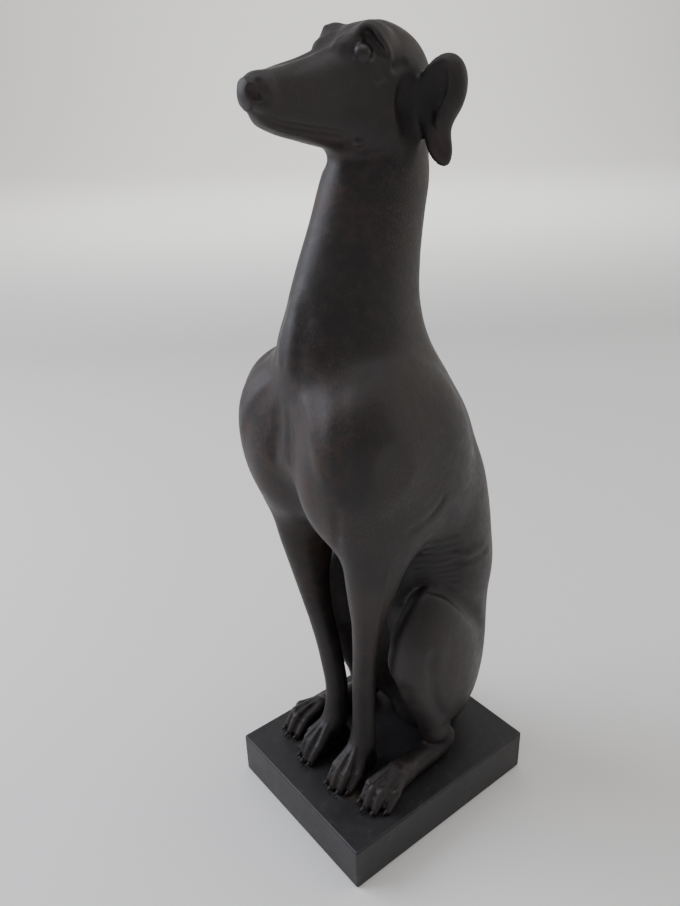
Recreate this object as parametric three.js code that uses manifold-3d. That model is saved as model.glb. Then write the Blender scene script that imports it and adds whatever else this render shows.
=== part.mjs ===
// A seated greyhound cast in dark resin, standing on a plain rectangular plinth.
// Millimetres, +Z up. The dog looks along -Y and its left side is +X.
// The origin is the middle of the plinth's underside.
import * as THREE from "three";
import { RoundedBoxGeometry } from "three/addons/geometries/RoundedBoxGeometry.js";
import Module from "manifold-3d";

// Driving dimensions, in millimetres.
const PLINTH_WIDTH = 140;
const PLINTH_DEPTH = 170;
const PLINTH_HEIGHT = 35;
const PLINTH_ARRIS = 1.6; // width of the plinth's softened edges
const ARRIS_STEPS = 2; // facets across half of one softened edge
const FIGURE_HEIGHT = 500; // from the plinth's top to the crown of the skull
const LATTICE_PITCH = 2.6; // pitch of the lattice on which the figure's surface is found
const BLOCK_SPAN = 10.4; // blocks of the lattice this wide share one value, far from the surface
const FIGURE_TRIANGLES = 9400; // what the figure keeps once its flat areas are thinned
const FINE_CARE = 6; // how much more care the thinning takes of the head and the feet
const SINK = 10; // how far the figure is modelled below the plinth's top before it is cut flat

// The figure is modelled in shares: one share is a hundredth of its height.
// Heights are shares above the plinth's top and y is negative towards the nose.
// Only the left half (x > 0) is described, because the dog is symmetrical.
const SHARE = FIGURE_HEIGHT / 100;

const clamp = (v, low, high) => Math.min(high, Math.max(low, v));

// Joins two distances with a soft valley of width k between them.
function join(a, b, k) {
  const h = Math.max(k - Math.abs(a - b), 0) / k;
  return Math.min(a, b) - h * h * k * 0.25;
}

// Takes the form at distance b out of the form at distance a.
const carve = (a, b, k) => -join(-a, b, k);

// An egg: an ellipsoid leaning by tilt degrees about x, then by yaw degrees about z.
function egg(centre, radii, tilt = 0, yaw = 0) {
  const turn = new THREE.Euler(THREE.MathUtils.degToRad(tilt), 0, THREE.MathUtils.degToRad(yaw), "ZYX");
  const m = new THREE.Matrix4().makeRotationFromEuler(turn).elements;
  const [cx, cy, cz] = centre;
  const [rx, ry, rz] = radii;
  const distance = (x, y, z) => {
    const px = x - cx;
    const py = y - cy;
    const pz = z - cz;
    const u = (px * m[0] + py * m[1] + pz * m[2]) / rx;
    const v = (px * m[4] + py * m[5] + pz * m[6]) / ry;
    const w = (px * m[8] + py * m[9] + pz * m[10]) / rz;
    const near = Math.sqrt(u * u + v * v + w * w);
    const slope = Math.sqrt((u * u) / (rx * rx) + (v * v) / (ry * ry) + (w * w) / (rz * rz));
    return slope < 1e-9 ? -Math.min(rx, ry, rz) : (near * (near - 1)) / slope;
  };
  return { distance, centre, reach: Math.max(rx, ry, rz) };
}

// A bone: a rounded cone from one point to another.
function bone(from, to, r0, r1) {
  const [ax, ay, az] = from;
  const [dx, dy, dz] = [to[0] - ax, to[1] - ay, to[2] - az];
  const square = dx * dx + dy * dy + dz * dz;
  const distance = (x, y, z) => {
    const px = x - ax;
    const py = y - ay;
    const pz = z - az;
    const t = clamp((px * dx + py * dy + pz * dz) / square, 0, 1);
    const qx = px - t * dx;
    const qy = py - t * dy;
    const qz = pz - t * dz;
    return Math.sqrt(qx * qx + qy * qy + qz * qz) - (r0 + (r1 - r0) * t);
  };
  const centre = [ax + dx / 2, ay + dy / 2, az + dz / 2];
  return { distance, centre, reach: Math.sqrt(square) / 2 + Math.max(r0, r1) };
}

// Values that run smoothly through stations [position, ...values], read from a fine table.
function run(stations, steps = 256) {
  const first = stations[0][0];
  const last = stations.at(-1)[0];
  const slopes = stations.map((s, i) => {
    const a = stations[Math.max(i - 1, 0)];
    const b = stations[Math.min(i + 1, stations.length - 1)];
    return s.map((_, k) => (b[k] - a[k]) / (b[0] - a[0]));
  });
  const table = Array.from({ length: steps + 2 }, (_, i) => {
    const p = clamp(first + ((last - first) * i) / steps, first, last);
    let j = 0;
    while (j < stations.length - 2 && p > stations[j + 1][0]) j += 1;
    const [a, b] = [stations[j], stations[j + 1]];
    const span = b[0] - a[0];
    const t = (p - a[0]) / span;
    const [h0, h1] = [(1 + 2 * t) * (1 - t) ** 2, t * t * (3 - 2 * t)];
    const [g0, g1] = [t * (1 - t) ** 2 * span, t * t * (t - 1) * span];
    return a.map((v, k) => h0 * v + h1 * b[k] + g0 * slopes[j][k] + g1 * slopes[j + 1][k]);
  });
  return (position, k) => {
    const at = clamp((position - first) / (last - first), 0, 1) * steps;
    const i = Math.floor(at);
    return table[i][k] + (table[i + 1][k] - table[i][k]) * (at - i);
  };
}

// Distance to an oval of half sizes a and b. Above 2, n makes it squarer.
function oval(u, v, a, b, n = 2) {
  const [s, t] = [Math.abs(u / a), Math.abs(v / b)];
  const near = Math.max(s ** n + t ** n, 1e-9) ** (1 / n);
  const slope = near ** (1 - n) * Math.sqrt((s ** (n - 1) / a) ** 2 + (t ** (n - 1) / b) ** 2);
  return near < 1e-3 ? -Math.min(a, b) : (near - 1) / Math.max(slope, 1e-9);
}

// A stack of level ovals. Stations are height, centre x, centre y, half width, half depth.
function stack(stations, centre, reach) {
  const at = run(stations);
  const [low, high] = [stations[0][0], stations.at(-1)[0]];
  const distance = (x, y, z) => {
    const side = oval(x - at(z, 1), y - at(z, 2), at(z, 3), at(z, 4));
    return Math.max(side, z - high, low - z);
  };
  return { distance, centre, reach };
}

const trunk = stack([
  [-1.4, 0, 9.0, 5.4, 4.2],
  [2, 0, 9.0, 6.4, 4.9],
  [10, 0, 9.2, 8.0, 6.0],
  [20, 0, 9.1, 9.2, 7.2],
  [26, 0, 8.6, 9.9, 8.7],
  [31, 0, 7.8, 10.5, 10.1],
  [36, 0, 7.2, 10.1, 10.5],
  [40, 0, 6.1, 10.0, 11.2],
  [45, 0, 3.9, 10.0, 12.4],
  [50, 0, 1.3, 10.0, 13.0],
  [55, 0, -0.7, 9.7, 13.0],
  [60, 0, -2.6, 8.7, 11.8],
  [65, 0, -3.9, 7.3, 10.2],
  [70, 0, -4.1, 6.1, 9.1],
  [75, 0, -3.2, 5.4, 8.3],
  [80, 0, -1.8, 5.1, 7.5],
  [84, 0, -0.7, 5.0, 7.0],
  [88, 0, 0, 4.7, 5.9],
  [93, 0, 0.3, 4.0, 4.6],
], [0, 0, 44], 60);

// The head from the nose to the back of the jaw: upright ovals along y.
// Stations are y, top, bottom, half width, squareness.
const HEAD_STATIONS = [
  [-16.9, 94.7, 92.2, 0.9, 2],
  [-16, 95.4, 90.9, 1.7, 2.4],
  [-14, 95.8, 89.8, 2.0, 2.7],
  [-11, 96.3, 88.9, 2.6, 2.9],
  [-8.5, 97.0, 88.2, 3.1, 2.9],
  [-6, 98.1, 87.6, 3.7, 2.8],
  [-4, 99.3, 87.1, 4.2, 2.5],
  [-2, 99.6, 86.6, 4.5, 2.3],
  [0, 99.6, 86.2, 4.6, 2.2],
  [3, 98.0, 86.6, 4.4, 2.1],
  [5, 95.6, 88.5, 3.0, 2],
  [6, 93.6, 90.5, 1.2, 2],
];
const headRun = run(HEAD_STATIONS);
const head = {
  centre: [0, -6, 93],
  reach: 15,
  distance: (x, y, z) => {
    const top = headRun(y, 1);
    const bottom = headRun(y, 2);
    const section = oval(x, z - (top + bottom) / 2, headRun(y, 3), (top - bottom) / 2, headRun(y, 4));
    return Math.max(section, HEAD_STATIONS[0][0] - y, y - HEAD_STATIONS.at(-1)[0]);
  },
};

const foreleg = stack([
  [3, 3.4, -7.2, 1.6, 1.7],
  [6, 3.25, -6.7, 1.75, 1.9],
  [9, 3.2, -6.4, 1.65, 1.75],
  [12, 3.2, -6.35, 1.6, 1.7],
  [16, 3.6, -6.6, 1.6, 1.75],
  [20, 4.2, -6.9, 1.6, 1.8],
  [24, 5.0, -7.3, 1.7, 1.9],
  [27, 5.6, -7.5, 1.8, 2.2],
  [30, 6.2, -7.6, 2.0, 2.6],
  [34, 6.7, -7.5, 2.5, 3.5],
  [38, 7.2, -7.2, 2.9, 4.6],
  [42, 7.5, -6.4, 3.2, 6.0],
  [46, 7.4, -5.4, 3.2, 7.4],
  [51, 6.6, -4.6, 2.6, 7.0],
  [56, 5.6, -4.0, 1.0, 3.5],
], [5.5, -6.5, 30], 30);

// The forms in the order in which they are joined: [form, softness of the joint].
const FORMS = [
  [trunk, 1],
  [head, 2.0],
  // Skull, cheek, nose and brow.
  [egg([0, -0.4, 94.7], [4.7, 5.8, 4.7]), 2],
  [egg([2.9, -1.6, 91.0], [2.2, 4.8, 4.0]), 1.5],
  [egg([0, -16.0, 93.7], [1.55, 1.65, 1.5]), 1.2],
  [bone([2.0, -6.4, 97.6], [2.8, -3.8, 99.0], 0.5, 0.6), 1.4],
  [egg([3.1, -3.2, 97.9], [1.5, 1.8, 1.6]), 1.2],
  // Breastbone, breast and shoulder.
  [bone([0, -9.6, 66], [0, -10.4, 54], 4.0, 4.5), 2.5],
  [bone([0, -10.4, 54], [0, -6.4, 42], 4.5, 3.4), 1.5],
  [egg([7.4, -10.3, 55.6], [4.6, 5.2, 7.9], 6), 3.5],
  [egg([4.8, -9.2, 49.5], [4.0, 5.8, 7.2], 25), 3],
  [egg([7.2, -4.4, 52.0], [3.6, 9.2, 11.5], -4), 4],
  [foreleg, 2.5],
  // Haunch, knee and shank.
  [egg([4.6, 7.4, 16], [5.2, 7.7, 14]), 2.5],
  [egg([7.8, 4.0, 18.8], [4.3, 8.1, 14.2], 19, 10), 0.6],
  [bone([8.3, -0.9, 24.2], [8.1, -1.4, 21], 3.1, 3.0), 2],
  [bone([8.1, -1.4, 21], [8.2, 3.0, 6.0], 3.0, 2.1), 1.2],
  [bone([8.2, 3.2, 5.6], [8.3, 4.9, 3.0], 2.0, 1.9), 1],
  [bone([8.3, 4.6, 1.9], [8.9, -4.5, 1.8], 1.8, 1.7), 1],
  // Ear: a lobe standing out and back, and the flap that hangs from it.
  [egg([6.9, 2.6, 93.0], [1.5, 2.6, 3.8], -18, -35), 0.8],
  [egg([6.6, 2.1, 89.2], [0.85, 1.5, 3.7], 20, -35), 1.4],
];

// One toe, from where it leaves the foot over the knuckle to the tip.
function toe(base, knuckle, tip) {
  FORMS.push([bone(base, knuckle, 0.8, 0.85), 0.35]);
  FORMS.push([bone(knuckle, tip, 0.85, 0.5), 0.2]);
}
FORMS.push([bone([3.3, -6.8, 5.4], [3.7, -9.8, 2.0], 1.6, 1.6), 1]);
FORMS.push([bone([3.2, -5.9, 1.6], [3.6, -9.4, 1.1], 1.5, 1.5), 1]);
toe([2.7, -7.6, 5.4], [2.3, -10.8, 2.6], [2.2, -12.6, 0.4]);
toe([3.2, -7.9, 5.6], [3.4, -11.1, 2.9], [3.4, -12.9, 0.4]);
toe([3.8, -7.9, 5.4], [4.6, -10.8, 2.8], [4.7, -12.5, 0.4]);
toe([4.2, -7.4, 5.0], [5.5, -9.6, 2.5], [5.7, -11.4, 0.4]);
FORMS.push([bone([9.0, -4.0, 2.4], [9.5, -7.8, 1.7], 1.7, 1.8), 1]);
toe([8.4, -5.2, 3.4], [8.0, -9.2, 2.5], [7.9, -11.0, 0.4]);
toe([9.0, -5.4, 3.6], [9.2, -9.7, 2.8], [9.3, -11.6, 0.4]);
toe([9.7, -5.4, 3.4], [10.4, -9.2, 2.7], [10.7, -11.0, 0.4]);
toe([10.1, -4.9, 2.8], [11.3, -7.6, 2.3], [11.8, -9.4, 0.4]);

// The tail leaves the rump low down and lies on the plinth round the dog's right side.
const TAIL = [
  [bone([0, 14.0, 8], [0, 15.4, 3.4], 1.5, 1.25), 1.2],
  [bone([0, 15.4, 3.4], [-2.6, 15.2, 1.2], 1.25, 1.1), 0.6],
  [bone([-2.6, 15.2, 1.2], [-7.4, 12.4, 0.9], 1.1, 0.9), 0.6],
  [bone([-7.4, 12.4, 0.9], [-10.6, 8.0, 0.7], 0.9, 0.6), 0.6],
];

// Hollows: [form, softness of the rim].
const HOLLOWS = [
  [egg([4.2, -5.1, 97.3], [1.1, 1.6, 1.4], 0, -38), 0.5], // eye socket
  [egg([6.7, 0, 93.2], [1.25, 2.5, 3.8], -24, -35), 0.4], // ear
  [egg([6.1, -0.1, 90.0], [0.9, 1.2, 2.8], 0, -35), 0.9], // between the ear and the jaw
  [egg([1.3, -17.0, 93.7], [0.4, 0.5, 0.8], 35, -20), 0.2], // nostril
];
const EYE = egg([3.3, -5.0, 96.5], [0.85, 0.9, 0.85]);

// Creases and tendons drawn over the surface: [points, depth, width].
// A negative depth raises a ridge.
const STROKES = [
  [[[8.8, 1, 33], [9.4, 5, 29.2], [9.2, 8.5, 25], [8, 12.5, 18.5]], 0.5, 0.8], // thigh, behind
  [[[9.5, 4.9, 35.2], [9.4, 8.8, 35], [8, 12.6, 34]], -0.25, 1.1], // hip, behind
  [[[0, -13.6, 62], [0, -14.6, 56], [0, -14, 50.5]], 0.6, 0.9], // between the breasts
  // Muzzle ridge
  [
    [[1.1, -15.7, 95.3], [1.1, -13.0, 95.8], [1.0, -10.5, 96.3], [1.0, -8.3, 97.0],
     [1.5, -7.1, 97.8], [1.3, -5.3, 98.7], [2.7, -5.1, 99.2]],
    -0.3,
    0.4,
  ],
  [[[4.8, -2.7, 95.4], [4.9, -1.7, 95.6], [4.9, -0.3, 96.0]], 0.25, 0.45], // behind the eye
  // Mouth
  [
    [[0.5, -17.3, 92.5], [1.0, -16.4, 91.8], [1.5, -15.6, 91.3], [1.6, -14.3, 90.8],
     [2.0, -12.2, 90.3], [2.4, -10.0, 89.9], [2.8, -7.8, 89.5], [3.1, -6.6, 89.1]],
    0.4,
    0.4,
  ],
  // Jaw line
  [
    [[1.1, -6.5, 86.8], [2.7, -5.6, 86.3], [3.6, -4.5, 86.7], [4.3, -3.4, 87.1], [4.8, -1.9, 87.6]],
    0.3,
    0.8,
  ],
  // Ear fold
  [
    [[6.5, 1.4, 91.6], [6.9, 1.1, 90.3], [7.3, 1.5, 88.9], [7.6, 2.2, 87.5], [7.7, 2.8, 86.4]],
    0.3,
    0.4,
  ],
  // Neck tendon
  [
    [[0.1, -11.8, 74.2], [0.2, -12.6, 72.1], [0.5, -13.5, 69.5], [0.8, -14.3, 66.3],
     [0.8, -14.7, 63.4]],
    -0.35,
    0.5,
  ],
  // Beside the tendon
  [
    [[1.7, -11.9, 72.8], [2.0, -12.9, 69.7], [2.3, -13.8, 66.5], [2.2, -14.2, 63.6]],
    0.25,
    0.45,
  ],
  // Hollow edge
  [
    [[2.4, -14.1, 63.7], [3.0, -14.2, 61.8], [3.4, -14.5, 59.8], [3.8, -15.0, 57.0],
     [5.1, -15.6, 55.1], [6.4, -15.8, 52.9]],
    -0.35,
    0.4,
  ],
  // Breast ridge
  [
    [[5.2, -12.4, 64.0], [6.0, -14.0, 61.7], [6.8, -15.1, 59.3], [7.7, -15.6, 56.7],
     [8.5, -15.6, 54.5], [8.9, -15.1, 52.0]],
    -0.25,
    0.6,
  ],
  // Breast groove
  [
    [[4.2, -13.8, 62.1], [5.2, -14.9, 59.3], [6.5, -15.6, 56.3], [7.9, -15.7, 53.7],
     [8.9, -15.1, 51.6]],
    0.3,
    0.5,
  ],
  // Elbow arc
  [
    [[11.0, 1.5, 49.8], [10.9, 1.6, 48.0], [11.0, 0.1, 46.0], [11.2, -3.5, 45.3],
     [11.1, -6.6, 44.1]],
    0.35,
    0.5,
  ],
  [[[9.4, -14.7, 51.4], [8.5, -14.2, 47.7], [6.6, -12.6, 42.5]], 0.3, 0.5], // armpit fold
  // Shoulder blade
  [
    [[5.7, 2.8, 64.7], [8.2, -0.3, 63.6], [9.8, -2.1, 61.4], [10.7, -3.1, 58.8]],
    -0.3,
    0.8,
  ],
  [[[9.4, 3.4, 36.1], [10.1, 6.1, 35.0], [10.0, 9.2, 34.9], [9.1, 12.0, 34.7]], 0.3, 0.5], // hip line
  [[[9.5, 3.6, 37.1], [10.0, 6.1, 36.2], [9.9, 9.0, 36.1], [9.1, 11.8, 36.1]], -0.25, 0.5], // hip ridge
  // Thigh crease
  [
    [[8.5, 0.0, 32.4], [9.3, 1.2, 32.1], [9.9, 3.1, 30.9], [10.3, 4.7, 29.0], [10.4, 7.0, 25.8],
     [9.9, 10.2, 21.1]],
    0.6,
    0.5,
  ],
  // Hamstring
  [
    [[11.9, -1.2, 25.9], [12.1, -1.7, 22.4], [11.8, -1.0, 17.9], [11.4, 0.5, 13.4],
     [10.6, 3.2, 8.6]],
    0.9,
    0.6,
  ],
  // Foreleg tendon
  [
    [[10.7, -8.1, 41.8], [9.8, -8.2, 37.0], [8.6, -8.1, 31.6], [6.9, -7.1, 25.1]],
    -0.2,
    0.4,
  ],
];

// How strongly a stroke acts at a point: full on its chain, fading beside it and at its ends.
function pressure(chain, width, x, y, z) {
  let nearest = Infinity;
  let along = 0;
  for (let i = 0; i + 1 < chain.length; i += 1) {
    const [a, b] = [chain[i], chain[i + 1]];
    const [dx, dy, dz] = [b[0] - a[0], b[1] - a[1], b[2] - a[2]];
    const [px, py, pz] = [x - a[0], y - a[1], z - a[2]];
    const t = clamp((px * dx + py * dy + pz * dz) / (dx * dx + dy * dy + dz * dz), 0, 1);
    const square = (px - t * dx) ** 2 + (py - t * dy) ** 2 + (pz - t * dz) ** 2;
    if (square < nearest) {
      nearest = square;
      along = (i + t) / (chain.length - 1);
    }
  }
  return Math.exp(-nearest / (width * width)) * Math.min(1, 4 * along, 4 * (1 - along));
}

// Joins forms to the distance d in turn, passing over those too far off to matter.
function joinAll(d, forms, x, y, z) {
  for (const [form, k] of forms) {
    const [cx, cy, cz] = form.centre;
    const away = Math.sqrt((x - cx) ** 2 + (y - cy) ** 2 + (z - cz) ** 2) - form.reach;
    if (away < d + k) d = join(d, form.distance(x, y, z), k);
  }
  return d;
}

const FAR_OFF = 1e3; // more than any distance within the figure

// The smooth body, before any hollow or crease.
function body(x, y, z) {
  return joinAll(joinAll(FAR_OFF, FORMS, Math.abs(x), y, z), TAIL, x, y, z);
}

const RELIEF_REACH = 4; // no hollow or crease reaches further than this from the body's surface

// Each stroke's chain is laid on the body's surface and ringed by a sphere.
const CHAINS = STROKES.map(([points, depth, width]) => {
  const curve = new THREE.CatmullRomCurve3(points.map((p) => new THREE.Vector3(...p)));
  const chain = curve.getPoints(points.length * 4).map((p) => {
    const q = p.toArray();
    for (let n = 0; n < 4; n += 1) {
      const d = body(...q);
      const h = 0.05;
      const slope = [0, 1, 2].map((c) => (body(...q.map((v, i) => v + (i === c ? h : 0))) - d) / h);
      const square = slope.reduce((sum, v) => sum + v * v, 1e-9);
      slope.forEach((v, c) => (q[c] -= (d * v) / square));
    }
    return q;
  });
  const ring = new THREE.Box3().setFromPoints(chain.map((p) => new THREE.Vector3(...p)));
  const sphere = ring.getBoundingSphere(new THREE.Sphere());
  return { chain, depth, width, centre: sphere.center.toArray(), reach: sphere.radius + 2.2 * width };
});

function figure(x, y, z) {
  let d = body(x, y, z);
  if (Math.abs(d) > RELIEF_REACH) return d;
  const side = Math.abs(x);
  for (const [form, k] of HOLLOWS) d = carve(d, form.distance(side, y, z), k);
  d = join(d, EYE.distance(side, y, z), 0.15);
  for (const { chain, depth, width, centre, reach } of CHAINS) {
    if ((side - centre[0]) ** 2 + (y - centre[1]) ** 2 + (z - centre[2]) ** 2 > reach * reach) continue;
    d += depth * pressure(chain, width, side, y, z);
  }
  return d;
}

// Finds the closed surface where the field is zero, on a lattice of tetrahedra.
function surface(field, low, high, pitch) {
  const [nx, ny, nz] = low.map((v, i) => Math.ceil((high[i] - v) / pitch) + 1);
  const at = (i, j, k) => i + nx * (j + ny * k);
  const values = new Float64Array(nx * ny * nz);
  const block = Math.round(BLOCK_SPAN / pitch);
  const far = block * pitch * 1.6;
  for (let k = 0; k < nz; k += block) {
    for (let j = 0; j < ny; j += block) {
      for (let i = 0; i < nx; i += block) {
        const middle = [i, j, k].map((n, c) => low[c] + (n + (block - 1) / 2) * pitch);
        const there = field(...middle);
        for (let c = k; c < Math.min(k + block, nz); c += 1) {
          for (let b = j; b < Math.min(j + block, ny); b += 1) {
            for (let a = i; a < Math.min(i + block, nx); a += 1) {
              values[at(a, b, c)] =
                Math.abs(there) > far
                  ? there
                  : field(low[0] + a * pitch, low[1] + b * pitch, low[2] + c * pitch);
            }
          }
        }
      }
    }
  }
  const positions = [];
  const triangles = [];
  const found = new Map();
  const corner = (n) => [n % nx, Math.floor(n / nx) % ny, Math.floor(n / (nx * ny))];
  // The point where the surface crosses the edge between lattice points a and b.
  const crossing = (a, b) => {
    const key = Math.min(a, b) * values.length + Math.max(a, b);
    if (!found.has(key)) {
      const t = clamp(values[a] / (values[a] - values[b]), 0.02, 0.98);
      const [p, q] = [corner(a), corner(b)];
      found.set(key, positions.length);
      positions.push(low.map((v, c) => v + pitch * (p[c] + (q[c] - p[c]) * t)));
    }
    return found.get(key);
  };
  const even = (order) => {
    let swaps = 0;
    order.forEach((a, i) => order.slice(i + 1).forEach((b) => (swaps += a > b ? 1 : 0)));
    return swaps % 2 === 0;
  };
  const around = [at(1, 0, 0), at(1, 1, 0), at(0, 1, 0), at(0, 1, 1), at(0, 0, 1), at(1, 0, 1)];
  const diagonal = at(1, 1, 1);
  for (let k = 0; k < nz - 1; k += 1) {
    for (let j = 0; j < ny - 1; j += 1) {
      for (let i = 0; i < nx - 1; i += 1) {
        const base = at(i, j, k);
        const same = (n) => values[n] < 0 === values[base] < 0;
        if (same(base + diagonal) && around.every((o) => same(base + o))) continue;
        // Six tetrahedra share the cell's long diagonal.
        for (let t = 0; t < 6; t += 1) {
          const tet = [base, base + around[t], base + around[(t + 1) % 6], base + diagonal];
          const within = [0, 1, 2, 3].filter((n) => values[tet[n]] < 0);
          const without = [0, 1, 2, 3].filter((n) => values[tet[n]] >= 0);
          if (within.length === 0 || without.length === 0) continue;
          const pairs =
            within.length === 2
              ? [[0, 0], [0, 1], [1, 1], [1, 0]]
              : within.length === 1 ? [[0, 0], [0, 1], [0, 2]] : [[0, 0], [1, 0], [2, 0]];
          const loop = pairs.map(([a, b]) => crossing(tet[within[a]], tet[without[b]]));
          if (!even([...within, ...without])) loop.reverse();
          for (let n = 1; n + 1 < loop.length; n += 1) triangles.push([loop[0], loop[n], loop[n + 1]]);
        }
      }
    }
  }
  return { positions, triangles };
}

// Thins a closed mesh to the wanted number of triangles.
// Each step closes the edge whose loss moves the surface least, measured by the planes around it.
// The care of a place tells how much more a move counts there.
function thin({ positions, triangles }, wanted, care) {
  const points = positions.map((p) => [...p]);
  const faces = triangles.map((t) => [...t]);
  const around = points.map(() => new Set());
  faces.forEach((face, f) => face.forEach((v) => around[v].add(f)));
  const planes = points.map(() => new Float64Array(10));
  const normal = (a, b, c) => {
    const [ux, uy, uz] = [b[0] - a[0], b[1] - a[1], b[2] - a[2]];
    const [vx, vy, vz] = [c[0] - a[0], c[1] - a[1], c[2] - a[2]];
    return [uy * vz - uz * vy, uz * vx - ux * vz, ux * vy - uy * vx];
  };
  faces.forEach(([a, b, c]) => {
    const n = normal(points[a], points[b], points[c]);
    const area = Math.hypot(...n);
    if (area < 1e-9) return;
    const [nx, ny, nz] = n.map((v) => v / area);
    const off = -(nx * points[a][0] + ny * points[a][1] + nz * points[a][2]);
    const q = [nx * nx, nx * ny, nx * nz, nx * off, ny * ny, ny * nz, ny * off, nz * nz, nz * off, off * off];
    for (const v of [a, b, c]) q.forEach((value, i) => (planes[v][i] += value * area));
  });
  const strain = (q, [x, y, z]) =>
    q[0] * x * x + 2 * q[1] * x * y + 2 * q[2] * x * z + 2 * q[3] * x +
    q[4] * y * y + 2 * q[5] * y * z + 2 * q[6] * y + q[7] * z * z + 2 * q[8] * z + q[9];
  // The best place for the point that takes the edge's place, and what it costs.
  const merged = (a, b) => {
    const q = planes[a].map((v, i) => v + planes[b][i]);
    const middle = points[a].map((v, i) => (v + points[b][i]) / 2);
    const m = new THREE.Matrix3().set(q[0], q[1], q[2], q[1], q[4], q[5], q[2], q[5], q[7]);
    const length = Math.hypot(...points[a].map((v, i) => v - points[b][i]));
    const places = [middle, points[a], points[b]];
    if (Math.abs(m.determinant()) > 1e-4 * (q[0] + q[4] + q[7]) ** 3) {
      const best = new THREE.Vector3(-q[3], -q[6], -q[8]).applyMatrix3(m.invert()).toArray();
      if (Math.hypot(...best.map((v, i) => v - middle[i])) < 2 * length) places.unshift(best);
    }
    let place = places[0];
    for (const p of places) if (strain(q, p) < strain(q, place) - 1e-9) place = p;
    return { place, cost: (Math.max(strain(q, place), 0) + 1e-4 * length * length) * care(place) };
  };
  // A heap of edges, the cheapest first. Stamps tell which entries are out of date.
  const heap = [];
  const stamp = new Int32Array(points.length);
  const push = (entry) => {
    let i = heap.length;
    heap.push(entry);
    while (i > 0) {
      const up = (i - 1) >> 1;
      if (heap[up].cost <= entry.cost) break;
      heap[i] = heap[up];
      i = up;
    }
    heap[i] = entry;
  };
  const pop = () => {
    const top = heap[0];
    const last = heap.pop();
    if (heap.length > 0) {
      let i = 0;
      for (;;) {
        let down = 2 * i + 1;
        if (down >= heap.length) break;
        if (down + 1 < heap.length && heap[down + 1].cost < heap[down].cost) down += 1;
        if (heap[down].cost >= last.cost) break;
        heap[i] = heap[down];
        i = down;
      }
      heap[i] = last;
    }
    return top;
  };
  const neighbours = (v) => {
    const found = new Set();
    for (const f of around[v]) for (const w of faces[f]) if (w !== v) found.add(w);
    return found;
  };
  const offer = (a, b) => push({ a, b, stampA: stamp[a], stampB: stamp[b], ...merged(a, b) });
  points.forEach((_, a) => neighbours(a).forEach((b) => a < b && offer(a, b)));
  let count = faces.length;
  while (count > wanted && heap.length > 0) {
    const { a, b, stampA, stampB, place } = pop();
    if (stamp[a] !== stampA || stamp[b] !== stampB) continue;
    const shared = [...around[a]].filter((f) => around[b].has(f));
    const beside = neighbours(b);
    const common = [...neighbours(a)].filter((v) => beside.has(v));
    if (shared.length !== 2 || common.length !== 2) continue;
    // A tetrahedron stays as it is.
    if (neighbours(a).size + beside.size < 7) continue;
    // No face that stays may turn over.
    const turns = (v, other) =>
      [...around[v]].some((f) => {
        if (around[other].has(f)) return false;
        const before = faces[f].map((w) => points[w]);
        const after = faces[f].map((w) => (w === v ? place : points[w]));
        const [n0, n1] = [normal(...before), normal(...after)];
        const turn = n0[0] * n1[0] + n0[1] * n1[1] + n0[2] * n1[2];
        return turn < 0.25 * Math.hypot(...n0) * Math.hypot(...n1) || Math.hypot(...n1) < 1e-6;
      });
    if (turns(a, b) || turns(b, a)) continue;
    points[a] = place;
    planes[a] = planes[a].map((v, i) => v + planes[b][i]);
    for (const f of shared) {
      faces[f].forEach((v) => around[v].delete(f));
      faces[f] = null;
    }
    count -= 2;
    for (const f of around[b]) {
      faces[f] = faces[f].map((v) => (v === b ? a : v));
      around[a].add(f);
    }
    around[b].clear();
    stamp[a] += 1;
    stamp[b] += 1;
    neighbours(a).forEach((v) => offer(a, v));
  }
  const kept = new Map();
  const left = faces.filter(Boolean).map((f) =>
    f.map((v) => {
      if (!kept.has(v)) kept.set(v, kept.size);
      return kept.get(v);
    }),
  );
  return { positions: [...kept.keys()].map((v) => points[v]), triangles: left };
}

// The lattice reaches a little past the figure on every side.
const REACH = { side: 13.4 * SHARE, back: 18.6 * SHARE, nose: 18.6 * SHARE };
const found = surface(
  (x, y, z) => figure(x / SHARE, y / SHARE, z / SHARE) * SHARE,
  [-REACH.side, -REACH.nose, -SINK],
  [REACH.side, REACH.back, FIGURE_HEIGHT + 2 * LATTICE_PITCH],
  LATTICE_PITCH,
);
const HEAD_FROM = 86 * SHARE;
const FEET_TO = 6 * SHARE;
const thinned = thin(found, FIGURE_TRIANGLES, ([, , z]) => (z > HEAD_FROM || z < FEET_TO ? FINE_CARE : 1));

// The figure is cut flat where it stands on the plinth.
const solids = await Module();
solids.setup();
const carved = new solids.Manifold(
  new solids.Mesh({
    numProp: 3,
    vertProperties: new Float32Array(thinned.positions.flat()),
    triVerts: new Uint32Array(thinned.triangles.flat()),
  }),
).trimByPlane([0, 0, 1], 0);
const seated = carved.getMesh();
const figureGeometry = new THREE.BufferGeometry();
const figurePositions = new Float32Array(seated.vertProperties);
figureGeometry.setAttribute("position", new THREE.BufferAttribute(figurePositions, 3));
figureGeometry.setIndex(new THREE.BufferAttribute(new Uint32Array(seated.triVerts), 1));
figureGeometry.translate(0, 0, PLINTH_HEIGHT);
figureGeometry.computeVertexNormals();

const plinthGeometry = new RoundedBoxGeometry(
  PLINTH_WIDTH,
  PLINTH_DEPTH,
  PLINTH_HEIGHT,
  ARRIS_STEPS,
  PLINTH_ARRIS,
);
plinthGeometry.translate(0, 0, PLINTH_HEIGHT / 2);

function piece(name, geometry, colour, roughness) {
  const mesh = new THREE.Mesh(geometry, new THREE.MeshStandardMaterial({ color: colour, roughness }));
  mesh.name = name;
  return mesh;
}

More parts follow.
